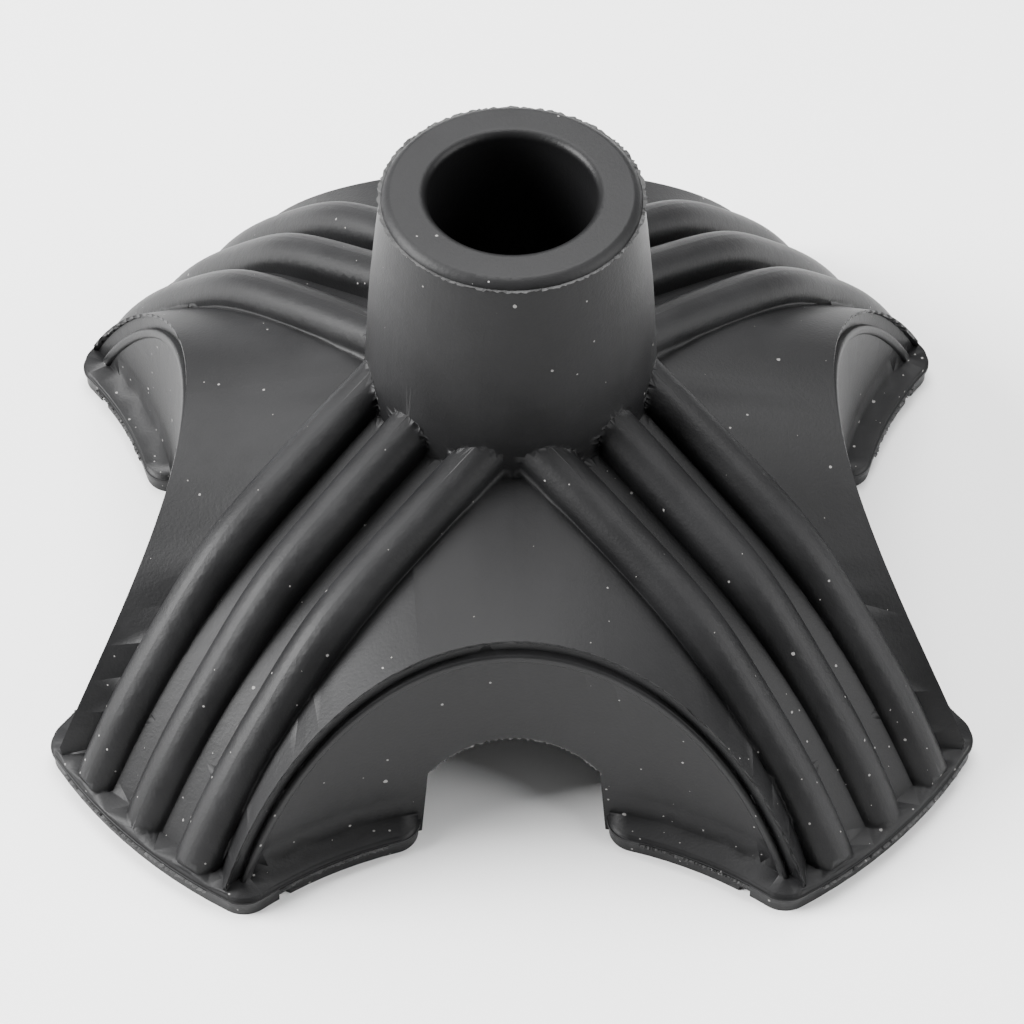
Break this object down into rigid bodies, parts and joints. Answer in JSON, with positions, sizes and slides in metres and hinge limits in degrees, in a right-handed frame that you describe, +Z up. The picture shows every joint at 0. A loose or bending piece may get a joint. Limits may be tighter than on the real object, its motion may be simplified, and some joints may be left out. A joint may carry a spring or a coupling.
{
  "type": "quad cane tip",
  "caption": "Black rubber cane base with a round tube socket in a tapered hub, ribbed diagonal legs, scalloped arches and flanged feet.",
  "frame": {"origin": "on the floor, under the axis of the tube socket", "axes": "+Z up along the socket's axis, -Y towards the front arch, the feet on the diagonals of X and Y"},
  "size_m": [0.108, 0.108, 0.0616],
  "materials": {
    "rubber": "satin moulded",
    "steel": "plain"
  },
  "bodies": {
    "root": {"rubber_foot": "rubber", "socket_washer": "steel"}
  },
  "joints": []
}
